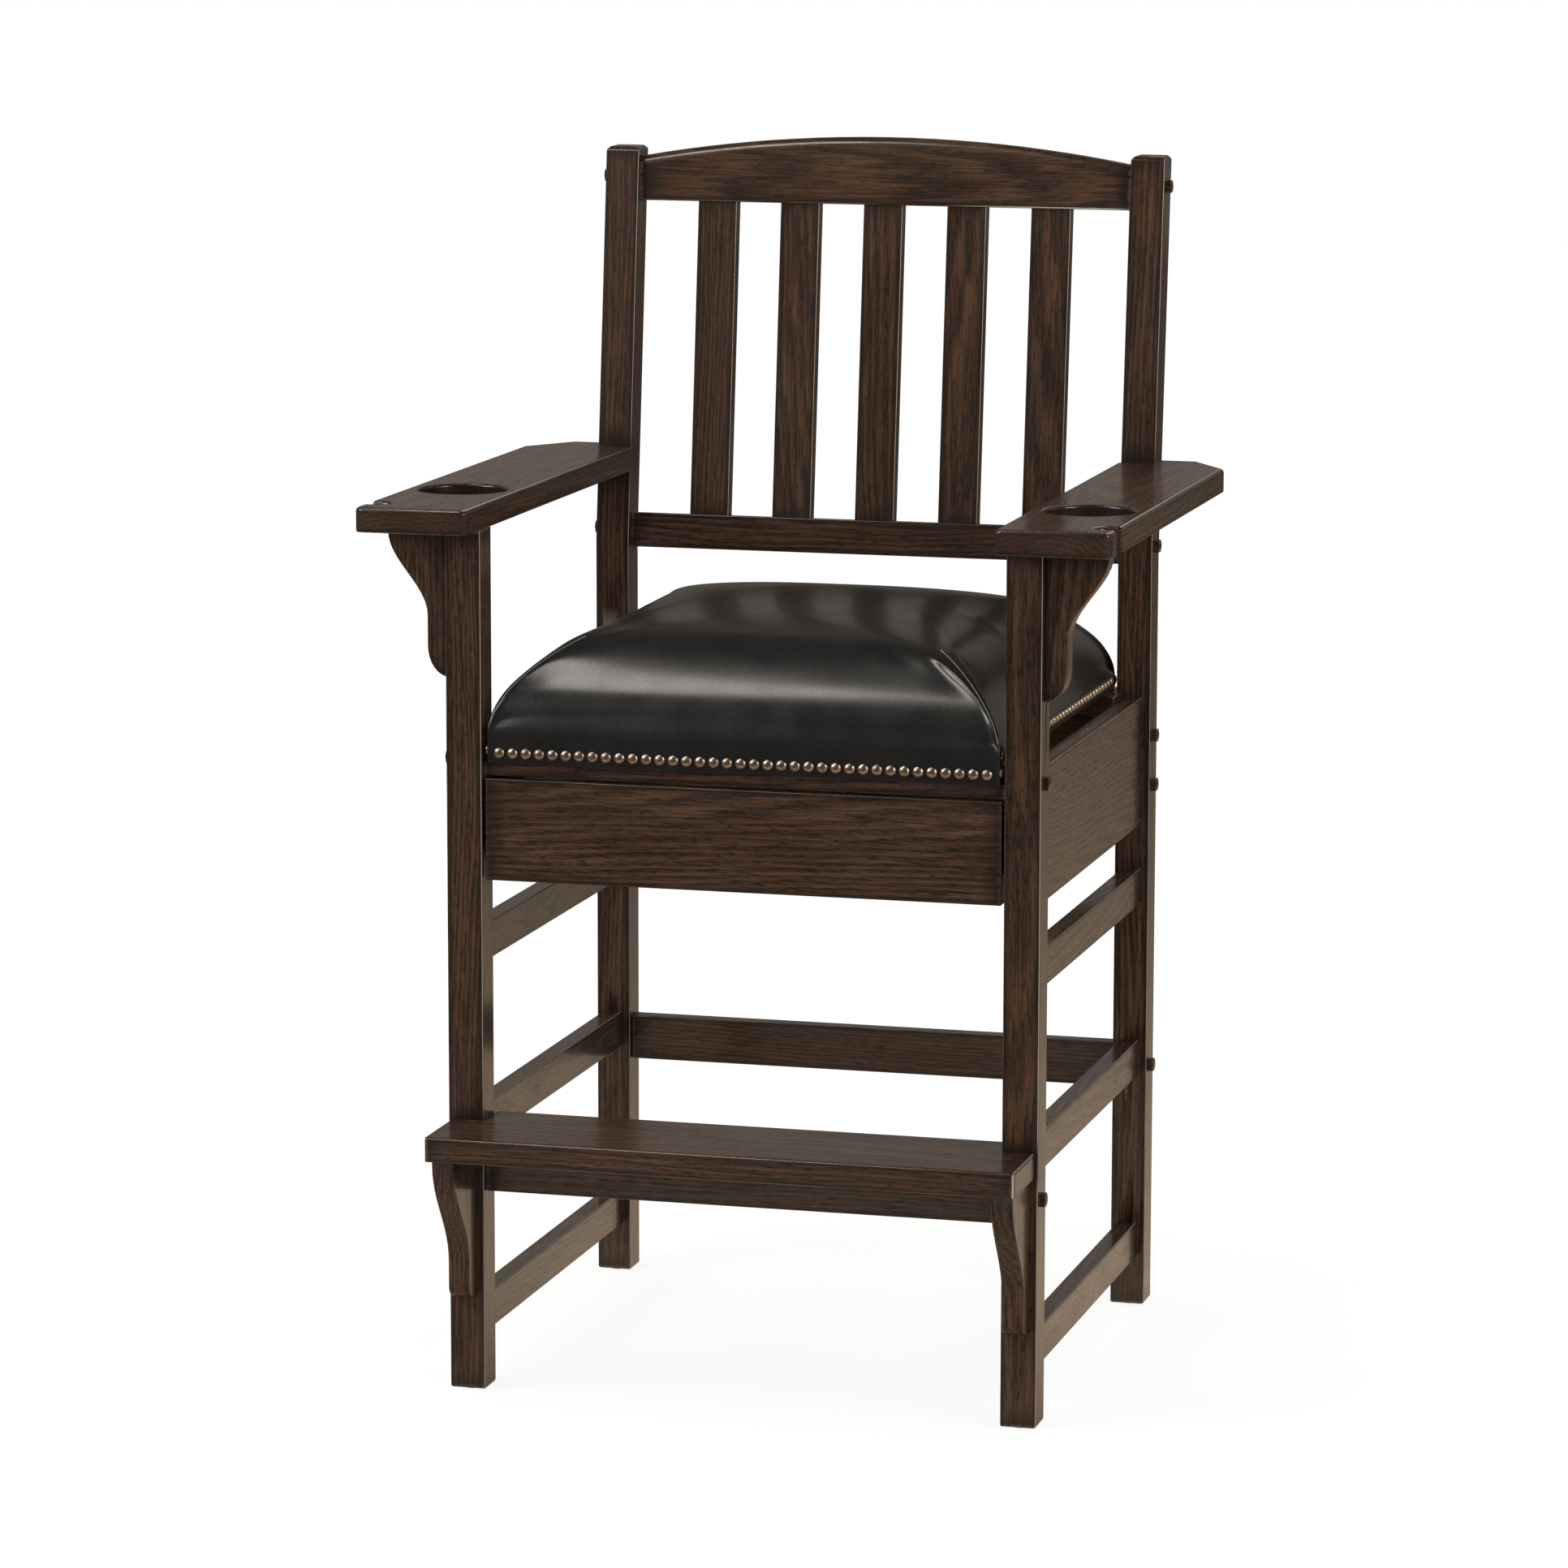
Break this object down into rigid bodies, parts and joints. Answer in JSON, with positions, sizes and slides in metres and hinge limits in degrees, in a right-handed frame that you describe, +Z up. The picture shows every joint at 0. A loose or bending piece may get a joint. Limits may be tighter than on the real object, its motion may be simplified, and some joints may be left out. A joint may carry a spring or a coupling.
{
  "type": "spectator_chair",
  "caption": "Tall wooden spectator chair with footrest, crowned leather seat edged in nailheads, arms with drink holes and cue notches, and a drawer below the seat.",
  "frame": {"origin": "middle of the base: centred left to right and front to back, on the floor", "axes": "+X towards the viewer's right seen from the front, -Y towards the front of the chair, +Z up"},
  "size_m": [0.756, 0.6829, 1.2248],
  "materials": {
    "dark_wood": "open-grained oak stained dark walnut, satin lacquer",
    "pale_wood": "planed birch, clear coated",
    "black_leather": "smooth pigmented leather, semi-gloss",
    "foam": "open-cell upholstery foam",
    "antique_brass": "antiqued",
    "zinc_steel": "zinc plated",
    "black_nylon": "moulded"
  },
  "bodies": {
    "frame": {"front_leg_left": "dark_wood", "front_leg_right": "dark_wood", "rear_post_left": "dark_wood", "rear_post_right": "dark_wood", "crest_rail": "dark_wood", "lower_back_rail": "dark_wood", "back_slat_1": "dark_wood", "back_slat_2": "dark_wood", "back_slat_3": "dark_wood", "back_slat_4": "dark_wood", "back_slat_5": "dark_wood", "arm_left": "dark_wood", "arm_right": "dark_wood", "arm_corbel_left": "dark_wood", "arm_corbel_right": "dark_wood", "side_apron_left": "dark_wood", "side_apron_right": "dark_wood", "rear_apron": "dark_wood", "front_seat_rail": "dark_wood", "stretcher_upper_left": "dark_wood", "stretcher_upper_right": "dark_wood", "stretcher_middle_left": "dark_wood", "stretcher_middle_right": "dark_wood", "stretcher_lower_left": "dark_wood", "stretcher_lower_right": "dark_wood", "rear_stretcher": "dark_wood", "footrest_board": "dark_wood", "foot_rail": "dark_wood", "foot_corbel_left": "dark_wood", "foot_corbel_right": "dark_wood", "bolt_plugs": "dark_wood", "corner_blocks": "dark_wood", "seat_board": "pale_wood", "seat_lip": "pale_wood", "frame_dowels": "pale_wood", "slide_packer_left": "pale_wood", "slide_packer_right": "pale_wood", "frame_bolts": "zinc_steel", "barrel_nuts": "zinc_steel", "seat_screws": "zinc_steel", "slide_outer_left": "zinc_steel", "slide_outer_right": "zinc_steel", "slide_screws_frame": "zinc_steel", "seat_cushion": "black_leather", "seat_foam": "foam", "seat_nails": "antique_brass", "floor_glides": "black_nylon"},
    "drawer": {"drawer_front": "dark_wood", "drawer_inner_front": "pale_wood", "drawer_side_left": "pale_wood", "drawer_side_right": "pale_wood", "drawer_back": "pale_wood", "drawer_bottom": "pale_wood", "drawer_front_screws": "zinc_steel", "slide_inner_left": "zinc_steel", "slide_inner_right": "zinc_steel", "slide_screws_drawer": "zinc_steel"},
    "slide_member_left": {"slide_middle_left": "zinc_steel"},
    "slide_member_right": {"slide_middle_right": "zinc_steel"}
  },
  "joints": [
    {"name": "drawer_slide", "type": "slide", "parent": "frame", "child": "drawer", "axis": [0, -1, 0], "range_m": [0, 0.34]},
    {"name": "slide_member_left_travel", "type": "slide", "parent": "frame", "child": "slide_member_left", "axis": [0, -1, 0], "range_m": [0, 0.17]},
    {"name": "slide_member_right_travel", "type": "slide", "parent": "frame", "child": "slide_member_right", "axis": [0, -1, 0], "range_m": [0, 0.17]}
  ],
  "couplings": [
    {"joint": "slide_member_left_travel", "follows": "drawer_slide", "ratio": 0.5},
    {"joint": "slide_member_right_travel", "follows": "drawer_slide", "ratio": 0.5}
  ]
}
